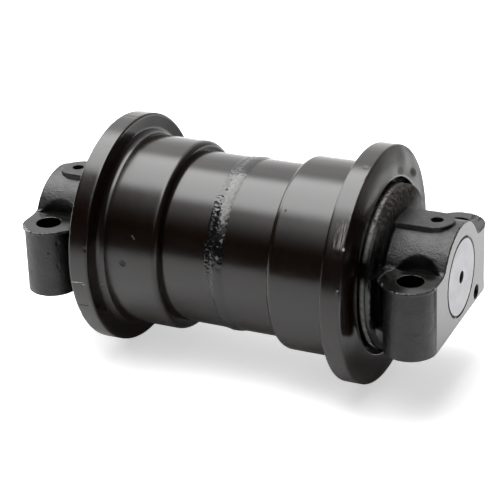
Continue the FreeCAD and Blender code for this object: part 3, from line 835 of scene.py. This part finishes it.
def stage_sheet_material(name, albedo, glow):
    """Matte material for the studio that may also glow a little."""
    material, tree, shader = node_material(name)
    shader.inputs["Base Color"].default_value = (albedo, albedo, albedo, 1)
    shader.inputs["Roughness"].default_value = 0.9
    shader.inputs["Specular IOR Level"].default_value = 0.1
    shader.inputs["Emission Color"].default_value = (1, 1, 1, 1)
    shader.inputs["Emission Strength"].default_value = glow
    return material


def glowing(name):
    """Empty emission material; gives it, its tree, and its place as X and as Y."""
    material = bpy.data.materials.new(name)
    material.use_nodes = True
    tree = material.node_tree
    tree.nodes.clear()
    split = split_place(tree)
    return material, tree, (split, "X"), (split, "Y")


def shine(tree, power):
    """Send a strength to the output of an emission material."""
    glow = add(tree, "ShaderNodeEmission", Strength=power)
    add(tree, "ShaderNodeOutputMaterial", Surface=(glow, "Emission"))


def fade(tree, source, start, end, before=0.0, after=1.0):
    """Smooth step of a number between start and end."""
    return spread(tree, source, start, end, before, after, "SMOOTHSTEP")


def decay(tree, source, start, reach):
    """One up to start, and then less and less, by a factor of e over each reach."""
    past = maths(tree, "MAXIMUM", maths(tree, "SUBTRACT", source, start), 0.0)
    return maths(tree, "EXPONENT", maths(tree, "MULTIPLY", past, -1 / reach))


def floor():
    """White board under the roller; what the eye sees of it glows evenly, and what the paint mirrors is matte
    apart from a painted pool of light glowing near the right end.
    """
    ground = -FLANGE * MM - 0.0005
    gap = 0.0004
    points = lying(-3.0, 3.5, -4.0, 4.0, ground)
    seen = stage_sheet("floor", points, stage_sheet_material("pale_floor", 0.8, 0.55))
    seen.visible_glossy = False
    board = stage_sheet_material("board", 0.84, 0.0)
    tree = board.node_tree
    split = split_place(tree)
    # Painted pool of light: the mirrored board glows beside the roller's right end.
    painted_light_near_end = fade(tree, (split, "Y"), 0.14, 0.30, 0.0, 0.75)
    glow = maths(tree, "MULTIPLY", painted_light_near_end, fade(tree, (split, "X"), 0.34, 0.5, 1.0, 0.0))
    plug(tree, glow, tree.nodes["Principled BSDF"].inputs["Emission Strength"])
    sheets = [stage_sheet("floor_mirrored", points, board)]
    # Sheets that only the paint mirrors: a dark cloth beyond the board's edge, a darker grey card behind the
    # roller, and a painted shadow on the board beside the roller's left end.
    cards = [
        ("dark_cloth", 0.02, -1.6, 0.45, 0.5, 4.0),
        ("grey_card", 0.22, -0.56, -0.2, -0.4, 0.19),
        ("left_card", 0.40, -0.2, 0.06, -0.45, -0.19),
    ]
    for name, albedo, *sides in cards:
        sheets.append(stage_sheet(name, lying(*sides, ground), stage_sheet_material(name, albedo, 0.0)))
    for i, sheet in enumerate(sheets):
        sheet.location.z = gap * (i + 1)
        sheet.visible_camera = False
        sheet.visible_diffuse = False
        sheet.visible_shadow = False


def back_wall():
    """Pale wall behind the roller that dims towards the right."""
    x, top, half = -1.6, 2.2, 4.0
    points = [(x, -half, -0.1), (x, half, -0.1), (x, half, top), (x, -half, top)]
    material, tree, _, y = glowing("pale_wall")
    shine(tree, maths(tree, "MULTIPLY", decay(tree, y, -0.3, 0.95), 1.35))
    stage_sheet("back_wall", points, material).visible_camera = False


def overhead_light():
    """Soft light overhead: a bright slanted panel, a fainter spill to the front, and a backdrop behind."""
    x_back, x_front, y_left, y_right, height = -1.6, 3.2, -2.6, 1.6, 1.2
    corners = [(x_back, y_left), (x_back, y_right), (x_front, y_right), (x_front, y_left)]
    points = [(*corner, height) for corner in corners]
    material, tree, x, y = glowing("soft_light")
    rise = fade(tree, maths(tree, "ADD", x, maths(tree, "MULTIPLY", y, -0.27)), -0.75, -0.35)
    front = fade(tree, maths(tree, "ADD", x, maths(tree, "MULTIPLY", y, -0.33)), 0.42, 0.80, 1.0, 0.0)
    panel = maths(tree, "MULTIPLY", front, fade(tree, y, -0.15, 0.6, 6.2, 0.0))
    panel = maths(tree, "MULTIPLY", panel, rise)
    spill = maths(tree, "MULTIPLY", decay(tree, x, 0.8, 0.65), fade(tree, y, -1.1, -0.2, 0.10, 2.4))
    spill = maths(tree, "MULTIPLY", spill, fade(tree, y, 0.05, 0.62, 1.0, 0.04))
    spill = maths(tree, "MULTIPLY", spill, rise)
    backdrop = maths(tree, "MULTIPLY", maths(tree, "SUBTRACT", 1.0, rise), fade(tree, y, -0.3, 1.2, 1.7, 0.2))
    shine(tree, maths(tree, "ADD", maths(tree, "ADD", panel, spill), backdrop))
    stage_sheet("soft_light", points, material).visible_camera = False


def surroundings():
    """White where the camera looks past the floor, and a dark room for the paint to mirror."""
    world = bpy.data.worlds.new("studio")
    bpy.context.scene.world = world
    world.use_nodes = True
    tree = world.node_tree
    glow = tree.nodes["Background"]
    path = add(tree, "ShaderNodeLightPath")
    plug(tree, spread(tree, (path, "Is Camera Ray"), 0.0, 1.0, 0.05, 1.0), glow.inputs["Strength"])
    glow.inputs["Color"].default_value = (1, 1, 1, 1)


floor()
back_wall()
overhead_light()
surroundings()
bpy.context.scene.view_settings.view_transform = "Standard"
